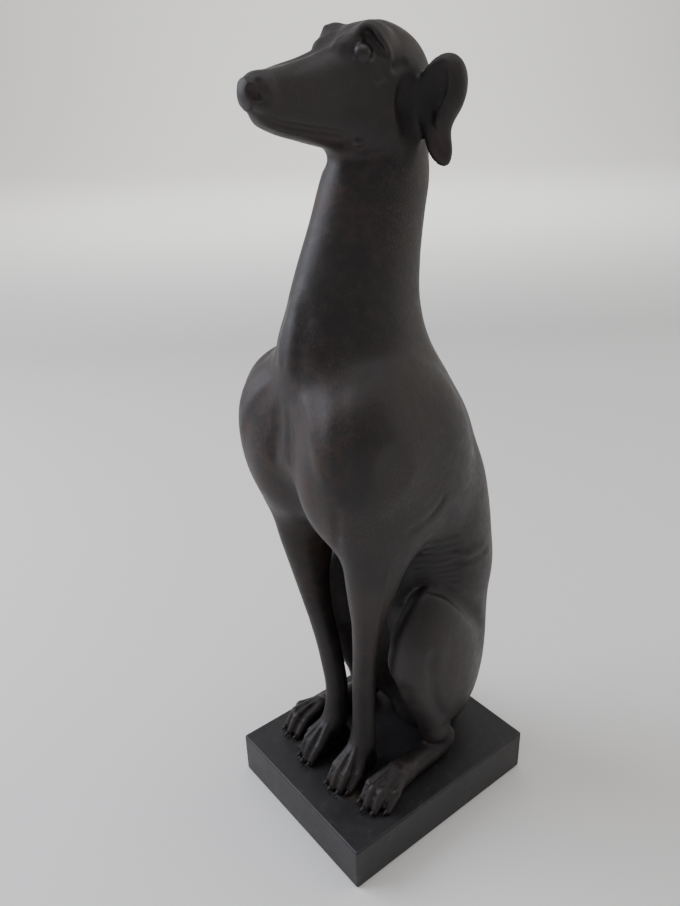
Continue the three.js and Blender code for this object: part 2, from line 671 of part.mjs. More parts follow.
const statue = new THREE.Group();
statue.name = "greyhound_statue";
statue.add(piece("greyhound", figureGeometry, 0x332c28, 0.42));
statue.add(piece("plinth", plinthGeometry, 0x2a2827, 0.5));

export default statue;
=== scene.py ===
import math

import bmesh
import bpy
import numpy as np
from mathutils import Euler, Matrix, Vector


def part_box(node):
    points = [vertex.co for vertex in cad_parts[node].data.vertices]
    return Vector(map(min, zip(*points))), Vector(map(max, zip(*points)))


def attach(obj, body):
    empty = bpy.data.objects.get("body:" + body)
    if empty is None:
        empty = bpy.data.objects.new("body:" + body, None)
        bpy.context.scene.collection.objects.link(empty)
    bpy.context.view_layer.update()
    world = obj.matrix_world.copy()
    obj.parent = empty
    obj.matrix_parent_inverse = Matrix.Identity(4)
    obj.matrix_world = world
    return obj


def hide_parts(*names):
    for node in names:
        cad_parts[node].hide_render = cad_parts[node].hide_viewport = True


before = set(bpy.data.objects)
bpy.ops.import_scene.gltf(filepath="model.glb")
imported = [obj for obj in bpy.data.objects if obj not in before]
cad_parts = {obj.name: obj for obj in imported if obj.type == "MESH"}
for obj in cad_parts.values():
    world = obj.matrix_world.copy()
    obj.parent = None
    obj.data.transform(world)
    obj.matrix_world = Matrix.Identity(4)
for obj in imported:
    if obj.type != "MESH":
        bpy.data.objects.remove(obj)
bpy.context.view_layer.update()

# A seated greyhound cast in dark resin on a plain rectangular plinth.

PLINTH_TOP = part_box("plinth")[1].z
SHARE = (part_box("greyhound")[1].z - PLINTH_TOP) / 100
VOXEL = 0.0026  # grid on which the dog's surface is laid before it is carved

# The dog is modelled in shares: one share is a hundredth of its height.
# Heights are shares above the plinth's top, y is negative towards the nose, and the left half is x > 0.


def join(a, b, k):
    """Joins two distances with a soft valley of width k between them."""
    h = np.maximum(k - np.abs(a - b), 0) / k
    return np.minimum(a, b) - h * h * k * 0.25


def carve(a, b, k):
    """Takes the form at distance b out of the form at distance a."""
    return -join(-a, b, k)


def egg(centre, radii, tilt=0, yaw=0):
    """An ellipsoid leaning by tilt degrees about x, then by yaw degrees about z."""
    turn = Euler((math.radians(tilt), 0, math.radians(yaw)), "XYZ").to_matrix()
    turn, radii_row = np.array(turn), np.array(radii, float)

    def distance(p):
        q = (p - centre) @ turn / radii_row
        near = np.sqrt((q * q).sum(1))
        slope = np.sqrt(((q / radii_row) ** 2).sum(1))
        return np.where(slope < 1e-9, -min(radii), near * (near - 1) / np.maximum(slope, 1e-9))

    return distance, centre, max(radii)


def bone(start, end, r0, r1):
    """A rounded cone from one point to another."""
    a, d = np.array(start, float), np.subtract(end, start).astype(float)

    def distance(p):
        t = np.clip((p - a) @ d / (d @ d), 0, 1)
        return np.linalg.norm(p - a - t[:, None] * d, axis=1) - (r0 + (r1 - r0) * t)

    return distance, a + d / 2, np.linalg.norm(d) / 2 + max(r0, r1)


def run(stations):
    """Values that run smoothly through stations (position, values...)."""
    s = np.array(stations, float)
    slopes = np.array([(s[min(i + 1, len(s) - 1)] - s[max(i - 1, 0)]) for i in range(len(s))])
    slopes /= slopes[:, :1]

    def at(position):
        p = np.clip(position, s[0, 0], s[-1, 0])
        j = np.clip(np.searchsorted(s[:, 0], p, side="right") - 1, 0, len(s) - 2)
        span = s[j + 1, 0] - s[j, 0]
        t = ((p - s[j, 0]) / span)[:, None]
        span = span[:, None]
        ease = (1 + 2 * t) * (1 - t) ** 2 * s[j] + t * t * (3 - 2 * t) * s[j + 1]
        return ease + t * (1 - t) ** 2 * span * slopes[j] + t * t * (t - 1) * span * slopes[j + 1]

    return at


def oval(u, v, a, b, n=2):
    """Distance to an oval of half sizes a and b. Above 2, n makes it squarer."""
    s, t = np.abs(u / a), np.abs(v / b)
    near = np.maximum(s**n + t**n, 1e-9) ** (1 / n)
    slope = near ** (1 - n) * np.sqrt((s ** (n - 1) / a) ** 2 + (t ** (n - 1) / b) ** 2)
    return np.where(near < 1e-3, -np.minimum(a, b), (near - 1) / np.maximum(slope, 1e-9))


def stack(stations, centre, reach):
    """A stack of level ovals. Stations are height, centre x, centre y, half width, half depth."""
    at, low, high = run(stations), stations[0][0], stations[-1][0]

    def distance(p):
        v = at(p[:, 2])
        side = oval(p[:, 0] - v[:, 1], p[:, 1] - v[:, 2], v[:, 3], v[:, 4])
        return np.maximum(side, np.maximum(p[:, 2] - high, low - p[:, 2]))

    return distance, centre, reach


TRUNK = stack([
    (-1.4, 0, 9.0, 5.4, 4.2), (2, 0, 9.0, 6.4, 4.9), (10, 0, 9.2, 8.0, 6.0), (20, 0, 9.1, 9.2, 7.2),
    (26, 0, 8.6, 9.9, 8.7), (31, 0, 7.8, 10.5, 10.1), (36, 0, 7.2, 10.1, 10.5), (40, 0, 6.1, 10.0, 11.2),
    (45, 0, 3.9, 10.0, 12.4), (50, 0, 1.3, 10.0, 13.0), (55, 0, -0.7, 9.7, 13.0), (60, 0, -2.6, 8.7, 11.8),
    (65, 0, -3.9, 7.3, 10.2), (70, 0, -4.1, 6.1, 9.1), (75, 0, -3.2, 5.4, 8.3), (80, 0, -1.8, 5.1, 7.5),
    (84, 0, -0.7, 5.0, 7.0), (88, 0, 0, 4.7, 5.9), (93, 0, 0.3, 4.0, 4.6),
], (0, 0, 44), 60)

# The head from the nose to the back of the jaw: upright ovals at y, top, bottom, half width, squareness.
HEAD_RUN = run([
    (-16.9, 94.7, 92.2, 0.9, 2), (-16, 95.4, 90.9, 1.7, 2.4),
    (-14, 95.8, 89.8, 2.0, 2.7), (-11, 96.3, 88.9, 2.6, 2.9), (-8.5, 97.0, 88.2, 3.1, 2.9),
    (-6, 98.1, 87.6, 3.7, 2.8), (-4, 99.3, 87.1, 4.2, 2.5), (-2, 99.6, 86.6, 4.5, 2.3),
    (0, 99.6, 86.2, 4.6, 2.2), (3, 98.0, 86.6, 4.4, 2.1), (5, 95.6, 88.5, 3.0, 2), (6, 93.6, 90.5, 1.2, 2),
])


def head_distance(p):
    """Distance to the head's run of upright ovals."""
    v = HEAD_RUN(p[:, 1])
    section = oval(p[:, 0], p[:, 2] - (v[:, 1] + v[:, 2]) / 2, v[:, 3], (v[:, 1] - v[:, 2]) / 2, v[:, 4])
    return np.maximum(section, np.maximum(-16.9 - p[:, 1], p[:, 1] - 6))


FORELEG = stack([
    (3, 3.4, -7.2, 1.6, 1.7), (6, 3.25, -6.7, 1.75, 1.9), (9, 3.2, -6.4, 1.65, 1.75),
    (12, 3.2, -6.35, 1.6, 1.7), (16, 3.6, -6.6, 1.6, 1.75), (20, 4.2, -6.9, 1.6, 1.8),
    (24, 5.0, -7.3, 1.7, 1.9), (27, 5.6, -7.5, 1.8, 2.2), (30, 6.2, -7.6, 2.0, 2.6),
    (34, 6.7, -7.5, 2.5, 3.5), (38, 7.2, -7.2, 2.9, 4.6), (42, 7.5, -6.4, 3.2, 6.0),
    (46, 7.4, -5.4, 3.2, 7.4), (51, 6.6, -4.6, 2.6, 7.0), (56, 5.6, -4.0, 1.0, 3.5),
], (5.5, -6.5, 30), 30)

# The forms in the order in which they are joined: form, softness of the joint.
FORMS = [
    (TRUNK, 1),
    ((head_distance, (0, -6, 93), 15), 2),
    # Skull, cheek, nose and brow.
    (egg((0, -0.4, 94.7), (4.7, 5.8, 4.7)), 2),
    (egg((2.9, -1.6, 91.0), (2.2, 4.8, 4.0)), 1.5),
    (egg((0, -16.0, 93.7), (1.55, 1.65, 1.5)), 1.2),
    (bone((2.0, -6.4, 97.6), (2.8, -3.8, 99.0), 0.5, 0.6), 1.4),
    (egg((3.1, -3.2, 97.9), (1.5, 1.8, 1.6)), 1.2),
    # Breastbone, breast and shoulder.
    (bone((0, -9.6, 66), (0, -10.4, 54), 4.0, 4.5), 2.5),
    (bone((0, -10.4, 54), (0, -6.4, 42), 4.5, 3.4), 1.5),
    (egg((7.4, -10.3, 55.6), (4.6, 5.2, 7.9), 6), 5),
    (egg((4.8, -9.2, 49.5), (4.0, 5.8, 7.2), 25), 3),
    (egg((7.2, -4.4, 52.0), (3.6, 9.2, 11.5), -4), 5.5),
    (FORELEG, 2.5),
    # Haunch, knee and shank.
    (egg((4.6, 7.4, 16), (5.2, 7.7, 14)), 2.5),
    (egg((7.8, 4.0, 18.8), (4.3, 8.1, 14.2), 19, 10), 0.6),
    (bone((8.3, -0.9, 24.2), (8.1, -1.4, 21), 3.1, 3.0), 2),
    (bone((8.1, -1.4, 21), (8.2, 3.0, 6.0), 3.0, 2.1), 1.2),
    (bone((8.2, 3.2, 5.6), (8.3, 4.9, 3.0), 2.0, 1.9), 1),
    (bone((8.3, 4.6, 1.9), (8.9, -4.5, 1.8), 1.8, 1.7), 1),
    # Ear: a lobe standing out and back, and the flap that hangs from it.
    (egg((6.9, 2.6, 93.0), (1.5, 2.6, 3.8), -18, -35), 0.8),
    (egg((6.6, 2.1, 89.2), (0.85, 1.5, 3.7), 20, -35), 1.4),
]


def toe(base, knuckle, tip):
    """Adds a toe: one bone up to the knuckle and one down to the tip."""
    FORMS.append((bone(base, knuckle, 0.8, 0.85), 0.35))
    FORMS.append((bone(knuckle, tip, 0.85, 0.5), 0.2))


FORMS.append((bone((3.3, -6.8, 5.4), (3.7, -9.8, 2.0), 1.6, 1.6), 1))
FORMS.append((bone((3.2, -5.9, 1.6), (3.6, -9.4, 1.1), 1.5, 1.5), 1))
toe((2.7, -7.6, 5.4), (2.3, -10.8, 2.6), (2.2, -12.6, 0.4))
toe((3.2, -7.9, 5.6), (3.4, -11.1, 2.9), (3.4, -12.9, 0.4))
toe((3.8, -7.9, 5.4), (4.6, -10.8, 2.8), (4.7, -12.5, 0.4))
toe((4.2, -7.4, 5.0), (5.5, -9.6, 2.5), (5.7, -11.4, 0.4))
FORMS.append((bone((9.0, -4.0, 2.4), (9.5, -7.8, 1.7), 1.7, 1.8), 1))
toe((8.4, -5.2, 3.4), (8.0, -9.2, 2.5), (7.9, -11.0, 0.4))
toe((9.0, -5.4, 3.6), (9.2, -9.7, 2.8), (9.3, -11.6, 0.4))
toe((9.7, -5.4, 3.4), (10.4, -9.2, 2.7), (10.7, -11.0, 0.4))
toe((10.1, -4.9, 2.8), (11.3, -7.6, 2.3), (11.8, -9.4, 0.4))

# The tail leaves the rump low down and lies on the plinth round the dog's right side.
TAIL = [
    (bone((0, 14.0, 8), (0, 15.4, 3.4), 1.5, 1.25), 1.2),
    (bone((0, 15.4, 3.4), (-2.6, 15.2, 1.2), 1.25, 1.1), 0.6),
    (bone((-2.6, 15.2, 1.2), (-7.4, 12.4, 0.9), 1.1, 0.9), 0.6),
    (bone((-7.4, 12.4, 0.9), (-10.6, 8.0, 0.7), 0.9, 0.6), 0.6),
]


def join_all(d, forms, p):
    """Joins forms to the distance d in turn, passing over those too far off to matter."""
    for (distance, centre, reach), k in forms:
        near = np.linalg.norm(p - centre, axis=1) - reach < d + k
        if near.any():
            d[near] = join(d[near], distance(p[near]), k)
    return d


def half(p):
    """The same points, all on the dog's left side."""
    return np.column_stack([np.abs(p[:, 0]), p[:, 1], p[:, 2]])


def body(p):
    """The smooth body, before any hollow or crease."""
    return join_all(join_all(np.full(len(p), 1e3), FORMS, half(p)), TAIL, p)


def slope_of(field, p, d, h=0.02):
    """The field's slope at the points p, where its values are d."""
    return np.column_stack([(field(p + h * np.eye(3)[c]) - d) / h for c in range(3)])


def seat(field, p, steps, cap):
    """Moves points onto the surface of a field, by no more than cap at each step."""
    for _ in range(steps):
        d = field(p)
        g = slope_of(field, p, d)
        move = (d / np.maximum((g * g).sum(1), 0.05))[:, None] * g
        length = np.linalg.norm(move, axis=1, keepdims=True)
        p = p - move * np.minimum(1, cap / np.maximum(length, 1e-9))
    return p


# Hollows, eyes and strokes: the finer carving.
HOLLOWS = [
    (bone((3.6, -6.0, 97.5), (3.7, -4.6, 98.4), 0.45, 0.6), 0.5),  # eye socket, before the peak
    (bone((3.7, -4.6, 98.4), (4.7, -3.2, 96.6), 0.6, 0.45), 0.5),  # and behind it
    (egg((3.9, -5.0, 97.3), (0.7, 1.3, 1.2), 0, -38), 0.3),
    (egg((6.7, 0.0, 93.2), (1.25, 2.5, 3.8), -24, -35), 0.4),  # ear
    (egg((6.1, -0.1, 90.0), (0.85, 1.1, 2.6), 0, -35), 1.6),  # between the ear and the jaw
    (egg((1.35, -17.0, 93.7), (0.5, 0.55, 0.85), 35, -20), 0.2),  # nostril
]
EYE = egg((3.25, -5.0, 96.85), (0.95, 1.0, 0.95))
MOUTH_CORNER = (egg((3.42, -5.85, 88.6), (0.5, 0.55, 0.5)), 0.1)


def shaped(p):
    """The body with its hollows and eyes."""
    d = body(p)
    near = np.abs(d) < 4
    q = half(p[near])
    e = d[near]
    for (distance, centre, reach), k in HOLLOWS:
        e = carve(e, distance(q), k)
    d[near] = join_all(join(e, EYE[0](q), 0.15), [MOUTH_CORNER], q)
    return d


# Creases, ridges and tendons drawn over the surface: depth, width, points. A negative depth is a ridge.
STROKES = [
    (0.5, 0.8, [(8.8, 1, 33), (9.4, 5, 29.2), (9.2, 8.5, 25), (8, 12.5, 18.5)]),  # thigh, behind
    (-0.25, 1.1, [(9.5, 4.9, 35.2), (9.4, 8.8, 35), (8, 12.6, 34)]),  # hip, behind
    (0.35, 0.8, [  # beside the breastbone
        (0.6, -14.6, 62), (0.9, -14.9, 59.5), (1.2, -15.1, 57), (1.6, -15.3, 54.5), (2.2, -15.4, 52),
    ]),
    (0.3, 0.28, [(3.0, -8.3, 7.2), (2.85, -10.6, 3.8), (2.8, -12.0, 1.6)]),  # between the front toes
    (0.3, 0.28, [(3.4, -8.3, 7.2), (4.0, -10.8, 3.8), (4.05, -12.2, 1.6)]),
    (0.3, 0.28, [(4.1, -8.0, 6.8), (5.0, -10.1, 3.4), (5.2, -11.6, 1.4)]),
    (0.3, 0.28, [(8.7, -5.6, 4.6), (8.6, -8.6, 3.5), (8.6, -10.8, 1.6)]),  # between the hind toes
    (0.3, 0.28, [(9.4, -5.6, 4.6), (9.8, -8.6, 3.5), (10.0, -10.8, 1.6)]),
    (0.3, 0.28, [(10.1, -5.2, 4.0), (10.9, -7.8, 3.0), (11.3, -9.8, 1.4)]),
    (-0.16, 0.3, [(2.7, -8.0, 6.9), (2.3, -11.0, 3.4), (2.2, -12.8, 1.0)]),  # along the front toes
    (-0.16, 0.3, [(3.2, -8.2, 7.4), (3.4, -11.3, 3.7), (3.4, -13.1, 1.0)]),
    (-0.16, 0.3, [(3.8, -8.2, 7.0), (4.6, -11.0, 3.6), (4.7, -12.7, 1.0)]),
    (-0.16, 0.3, [(9.0, -5.4, 4.8), (9.2, -9.7, 3.6), (9.3, -11.8, 1.0)]),  # along the hind toes
    (-0.16, 0.3, [(9.7, -5.4, 4.6), (10.4, -9.2, 3.5), (10.7, -11.2, 1.0)]),
    (-0.25, 0.35, [  # brow fold
        (2.7, -6.0, 98.3), (2.8, -5.1, 99.1), (3.3, -4.5, 99.4), (4.0, -4.0, 98.9), (4.5, -3.5, 97.9),
        (4.5, -2.8, 97.0), (4.7, -2.6, 96.0), (4.9, -2.6, 95.1),
    ]),
    (-0.3, 0.25, [  # upper lid
        (3.0, -6.4, 96.8), (2.9, -5.8, 97.6), (3.0, -4.8, 98.1), (3.2, -4.1, 98.1), (3.7, -3.6, 97.5),
        (4.1, -3.3, 96.6), (4.6, -3.3, 95.7),
    ]),
    (-0.12, 0.3, [  # lower lid
        (3.1, -6.2, 96.5), (3.4, -5.9, 96.2), (3.8, -5.3, 96.0), (4.1, -4.5, 95.9), (4.5, -3.8, 95.5),
    ]),
    (0.15, 0.35, [(4.9, -2.9, 95.0), (4.7, -3.8, 94.5), (4.4, -4.7, 94.2)]),  # under the eye
    (-0.2, 0.8, [  # inner breast
        (2.7, -14.3, 63.4), (4.5, -14.7, 61.7), (6.2, -15.5, 59.6), (7.5, -16.0, 56.8), (8.6, -15.8, 53.2),
    ]),
    (0.25, 1.2, [  # outer breast
        (6.1, -10.4, 66.0), (8.4, -12.8, 63.3), (10.2, -14.3, 59.6), (10.8, -14.6, 55.1),
        (10.5, -13.9, 50.3),
    ]),
    (-0.2, 0.8, [  # neck tendon
        (0.1, -11.8, 74.2), (0.2, -12.6, 72.1), (0.5, -13.5, 69.5), (0.8, -14.3, 66.3), (0.8, -14.6, 64.0),
    ]),
    (0.15, 0.8, [  # beside the tendon
        (1.8, -11.9, 72.8), (2.3, -12.8, 69.7), (2.5, -13.7, 66.6), (2.5, -14.1, 64.3),
    ]),
    (0.22, 0.35, [  # elbow arc
        (11.4, 0.6, 48.6), (11.4, -0.2, 47.0), (11.4, -2.4, 45.6), (11.5, -5.1, 45.2), (11.3, -6.6, 44.2),
    ]),
    (-0.3, 0.4, [  # muzzle ridge
        (1.1, -15.7, 95.3), (1.1, -13.0, 95.8), (1.0, -10.5, 96.3), (1.0, -8.3, 97.0), (1.5, -7.1, 97.8),
        (1.3, -5.3, 98.7), (2.7, -5.1, 99.2),
    ]),
    (0.25, 0.45, [(4.8, -2.7, 95.4), (4.9, -1.7, 95.6), (4.9, -0.3, 96.0)]),  # behind the eye
    (0.4, 0.3, [  # nose pad
        (1.1, -16.3, 95.1), (1.7, -16.4, 94.3), (1.9, -16.1, 93.3), (1.8, -15.6, 92.3),
    ]),
    (0.3, 0.25, [(1.0, -16.7, 93.5), (1.4, -16.4, 93.2), (1.8, -16.1, 92.8)]),  # nostril slit
    (0.5, 0.32, [  # mouth
        (0.5, -17.3, 92.5), (1.0, -16.4, 91.8), (1.5, -15.6, 91.3), (1.6, -14.3, 90.8), (2.0, -12.2, 90.3),
        (2.4, -10.0, 89.9), (2.8, -7.8, 89.5), (3.1, -6.6, 89.1),
    ]),
    (-0.12, 0.4, [  # lower lip
        (0.6, -16.2, 91.2), (1.2, -15.0, 90.6), (1.8, -12.1, 89.9), (2.3, -9.4, 89.4), (2.6, -6.8, 88.6),
    ]),
    (0.3, 0.8, [  # jaw line
        (1.1, -6.5, 86.8), (2.7, -5.6, 86.3), (3.6, -4.5, 86.7), (4.3, -3.4, 87.1), (4.8, -1.9, 87.6),
    ]),
    (0.3, 0.35, [  # ear fold
        (6.4, 1.5, 91.6), (6.8, 1.3, 90.2), (7.3, 1.5, 88.9), (7.6, 2.2, 87.5), (7.7, 2.8, 86.4),
    ]),
    (0.3, 0.5, [(9.8, -15.0, 51.7), (8.9, -14.5, 48.1), (7.2, -13.1, 43.0)]),  # armpit fold
    (0.3, 0.5, [(9.4, 3.4, 36.1), (10.1, 6.1, 35.0), (10.0, 9.2, 34.9), (9.1, 12.0, 34.7)]),  # hip line
    (-0.25, 0.5, [(9.5, 3.6, 37.1), (10.0, 6.1, 36.2), (9.9, 9.0, 36.1), (9.1, 11.8, 36.1)]),  # hip ridge
    (0.6, 0.5, [  # thigh crease
        (8.5, 0.0, 32.4), (9.3, 1.2, 32.1), (9.9, 3.1, 30.9), (10.3, 4.7, 29.0), (10.4, 7.0, 25.8),
        (9.9, 10.2, 21.1),
    ]),
    (0.9, 0.6, [  # hamstring
        (11.9, -1.2, 25.9), (12.1, -1.7, 22.4), (11.8, -1.0, 17.9), (11.4, 0.5, 13.4), (10.6, 3.2, 8.6),
    ]),
    (-0.2, 0.4, [  # foreleg tendon
        (10.8, -8.2, 41.9), (9.8, -8.2, 37.0), (8.6, -8.1, 31.6), (6.9, -7.1, 25.1),
    ]),
    (0.2, 0.28, [(10.2, -2.2, 41.1), (9.4, -0.3, 40.0), (9.9, 2.9, 40.0), (10.0, 5.8, 39.8)]),  # flank
    (0.2, 0.28, [(8.3, -0.6, 38.5), (8.7, 0.5, 38.4), (9.6, 3.2, 38.7), (10.0, 5.9, 38.5)]),
    (0.2, 0.28, [(7.1, -0.6, 36.9), (8.3, 0.8, 37.2), (9.5, 3.4, 37.4), (10.0, 5.9, 37.4)]),
    (0.2, 0.28, [(6.9, -0.4, 35.7), (8.2, 1.0, 36.1), (9.5, 3.5, 36.4), (10.0, 6.0, 36.3)]),
    (0.2, 0.28, [(6.5, -0.6, 34.5), (8.1, 1.1, 35.1), (9.5, 3.5, 35.3), (10.1, 6.0, 35.2)]),
    (0.2, 0.28, [(6.7, -0.4, 33.7), (8.1, 1.1, 34.2), (9.5, 3.5, 34.5), (10.2, 5.9, 34.3)]),
    (0.2, 0.28, [(6.8, -0.2, 32.9), (8.1, 1.2, 33.4), (9.5, 3.5, 33.6), (10.2, 5.9, 33.3)]),
    (0.2, 0.28, [(7.3, 0.2, 32.3), (8.2, 1.1, 32.7), (9.6, 3.5, 32.8), (10.3, 5.9, 32.4)]),
]


def smooth_chain(points, steps=4):
    """A Catmull-Rom line through points, with steps to each stretch."""
    p = np.array(points, float)
    p = np.vstack([2 * p[0] - p[1], p, 2 * p[-1] - p[-2]])
    out = [p[1]]
    for a, b, c, d in zip(p, p[1:], p[2:], p[3:]):
        for t in np.arange(1, steps + 1) / steps:
            cubic = (-a + 3 * b - 3 * c + d) * t**3 + (2 * a - 5 * b + 4 * c - d) * t**2
            out.append((cubic + (c - a) * t + 2 * b) / 2)
    return np.array(out)


CHAINS = [(depth, width, seat(shaped, smooth_chain(points), 4, 1.0)) for depth, width, points in STROKES]


def pressure(chain, width, q):
    """How strongly a stroke acts: full on its chain, fading beside it and at its ends."""
    nearest, along = np.full(len(q), 1e9), np.zeros(len(q))
    for i, (a, b) in enumerate(zip(chain, chain[1:])):
        t = np.clip((q - a) @ (b - a) / max((b - a) @ (b - a), 1e-9), 0, 1)
        square = ((q - a - t[:, None] * (b - a)) ** 2).sum(1)
        closer = square < nearest
        nearest = np.where(closer, square, nearest)
        along = np.where(closer, (i + t) / (len(chain) - 1), along)
    fade = np.clip(4 * np.minimum(along, 1 - along), 0, 1)
    return np.exp(-nearest / width**2) * fade * fade * (3 - 2 * fade)


def figure(p):
    """The carved dog."""
    d = shaped(p)
    q = half(p)
    for depth, width, chain in CHAINS:
        low, high = chain.min(0) - 2.2 * width, chain.max(0) + 2.2 * width
        near = (np.abs(d) < 2) & (q > low).all(1) & (q < high).all(1)
        if near.any():
            d[near] += depth * pressure(chain, width, q[near])
    return d


def standing(p):
    """The dog, cut flat a hair below the plinth's top."""
    return np.maximum(figure(p), -0.1 - p[:, 2])


# Where the claws stand, across and along, on the left half.
CLAW_ROOTS = [
    (2.2, -13.1), (3.4, -13.4), (4.7, -13.0), (5.7, -11.9),  # front foot
    (7.9, -11.5), (9.3, -12.1), (10.7, -11.5), (11.8, -9.9),  # hind foot
]


def new_object(name, mesh):
    """An object in the scene with this mesh."""
    obj = bpy.data.objects.new(name, mesh)
    bpy.context.scene.collection.objects.link(obj)
    return obj


def applied(obj, name):
    """A new object with the modifiers of the old one applied, which it replaces."""
    bpy.context.view_layer.update()
    seen = obj.evaluated_get(bpy.context.evaluated_depsgraph_get())
    mesh = bpy.data.meshes.new_from_object(seen)
    bpy.data.objects.remove(obj)
    mesh.name = name
    return new_object(name, mesh)


def in_shares(mesh):
    """The mesh's points in shares above the plinth's top."""
    co = np.zeros(len(mesh.vertices) * 3)
    mesh.vertices.foreach_get("co", co)
    return (co.reshape(-1, 3) - (0, 0, PLINTH_TOP)) / SHARE


def relax(p, edges, rounds, field):
    """Evens the mesh out along the surface: each point goes halfway to its neighbours' middle."""
    count = np.bincount(edges.ravel(), minlength=len(p))[:, None]
    for _ in range(rounds):
        total = np.zeros_like(p)
        for c in range(3):
            total[:, c] += np.bincount(edges[:, 0], p[edges[:, 1], c], len(p))
            total[:, c] += np.bincount(edges[:, 1], p[edges[:, 0], c], len(p))
        p = seat(field, (p + total / count) / 2, 1, 0.3)
    return p


def finer(mesh, wanted):
    """Splits each face whose centre, in shares, is wanted."""
    bm = bmesh.new()
    bm.from_mesh(mesh)
    faces = list(bm.faces)
    centres = np.array([f.calc_center_median() for f in faces])
    chosen = wanted((centres - (0, 0, PLINTH_TOP)) / SHARE)
    edges = {e for f, c in zip(faces, chosen) if c for e in f.edges}
    bmesh.ops.subdivide_edges(bm, edges=list(edges), cuts=1, use_grid_fill=True)
    bm.to_mesh(mesh)
    bm.free()


def laid(mesh, field, rounds):
    """Seats the mesh on the field's surface and evens it out there."""
    p = seat(field, in_shares(mesh), 3, 0.5)
    edges = np.zeros(len(mesh.edges) * 2, int)
    mesh.edges.foreach_get("vertices", edges)
    p = relax(p, edges.reshape(-1, 2), rounds, field)
    low, high = (np.array(end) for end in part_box("greyhound"))
    above = np.array((0, 0, PLINTH_TOP))
    p = np.clip(seat(field, p, 2, 0.3), (low - above) / SHARE, (high - above) / SHARE)
    mesh.vertices.foreach_set("co", (p * SHARE + (0, 0, PLINTH_TOP)).astype(np.float32).ravel())
    mesh.update()


def claws(mesh):
    """Adds a claw at the end of each toe."""
    bm = bmesh.new()
    bm.from_mesh(mesh)
    for x, y in CLAW_ROOTS + [(-x, y) for x, y in CLAW_ROOTS]:
        lean = Matrix.Rotation(math.radians(122), 4, "X")
        place = Matrix.Translation(Vector((x, y, 0.62)) * SHARE + Vector((0, 0, PLINTH_TOP)))
        cone = {"cap_ends": True, "segments": 12, "radius1": 0.33 * SHARE, "radius2": 0.1 * SHARE}
        bmesh.ops.create_cone(bm, depth=0.95 * SHARE, matrix=place @ lean, **cone)
    bm.to_mesh(mesh)
    bm.free()


def busy(p):
    """The head, the feet and the wrinkled flank."""
    flank = (p[:, 2] > 30) & (p[:, 2] < 43) & (p[:, 0] > 5) & (p[:, 1] < 7)
    return (p[:, 2] > 85) | (p[:, 2] < 6) | flank


def busiest(p):
    """The eyes, the nose and the corners of the mouth."""
    side = np.abs(p[:, 0])
    eyes = (side > 1.5) & (p[:, 1] > -7.5) & (p[:, 1] < -2) & (p[:, 2] > 94)
    nose = (p[:, 1] < -16) & (p[:, 2] > 91.5)
    corners = (side > 2.5) & (np.abs(p[:, 1] + 5.9) < 1.1) & (np.abs(p[:, 2] - 88.6) < 1.1)
    return eyes | nose | corners


def sculpt():
    """The CAD dog remeshed evenly, seated on the finer form and given claws."""
    bm = bmesh.new()
    bm.from_mesh(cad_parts["greyhound"].data)
    bmesh.ops.remove_doubles(bm, verts=bm.verts, dist=1e-6)
    mesh = bpy.data.meshes.new("greyhound_copy")
    bm.to_mesh(mesh)
    bm.free()
    dog = new_object("greyhound_copy", mesh)
    even = dog.modifiers.new("Even grid", "REMESH")
    even.mode = "VOXEL"
    even.voxel_size = VOXEL
    dog = applied(dog, "greyhound_carved")
    laid(dog.data, standing, 3)
    finer(dog.data, busy)
    laid(dog.data, standing, 2)
    finer(dog.data, busiest)
    laid(dog.data, standing, 1)
    claws(dog.data)
    dog.data.polygons.foreach_set("use_smooth", np.ones(len(dog.data.polygons), bool))
    return dog


dog = sculpt()


def plinth():
    """The slab, its arrises rounded by 1.6 mm."""
    low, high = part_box("plinth")
    bm = bmesh.new()
    bmesh.ops.create_cube(bm, size=1)
    bmesh.ops.scale(bm, vec=high - low, verts=bm.verts)
    bmesh.ops.translate(bm, vec=(low + high) / 2, verts=bm.verts)
    bmesh.ops.bevel(bm, geom=bm.edges, offset=0.0016, segments=4, profile=0.5, affect="EDGES")
    mesh = bpy.data.meshes.new("plinth_cast")
    bm.to_mesh(mesh)
    bm.free()
    mesh.polygons.foreach_set("use_smooth", np.ones(len(mesh.polygons), bool))
    block = new_object("plinth_cast", mesh)
    even = block.modifiers.new("Flat faces", "WEIGHTED_NORMAL")
    even.keep_sharp = True
    return block


block = plinth()


def colour(code):
    """An sRGB hex code as linear red, green, blue and alpha."""
    parts = [int(code[i:i + 2], 16) / 255 for i in (0, 2, 4)]
    return [c / 12.92 if c <= 0.04045 else ((c + 0.055) / 1.055) ** 2.4 for c in parts] + [1]


def material(name):
    """A new material and its shader."""
    made = bpy.data.materials.new(name)
    made.use_nodes = True
    return made, made.node_tree.nodes["Principled BSDF"]


def node(made, kind, inputs=None, **settings):
    """Adds a node. Its inputs are values, or outputs of other nodes to link to."""
    new = made.node_tree.nodes.new("ShaderNode" + kind)
    for key, value in settings.items():
        setattr(new, key, value)
    for key, value in (inputs or {}).items():
        if isinstance(value, bpy.types.NodeSocket):
            made.node_tree.links.new(value, new.inputs[key])
        else:
            new.inputs[key].default_value = value
    return new


def ramp(made, source, stops):
    """A colour ramp with stops (position, hex colour)."""
    new = node(made, "ValToRGB", {"Fac": source})
    bar = new.color_ramp
    while len(bar.elements) < len(stops):
        bar.elements.new(0.5)
    for element, (position, code) in zip(bar.elements, stops):
        element.position = position
        element.color = colour(code)
    return new.outputs["Color"]


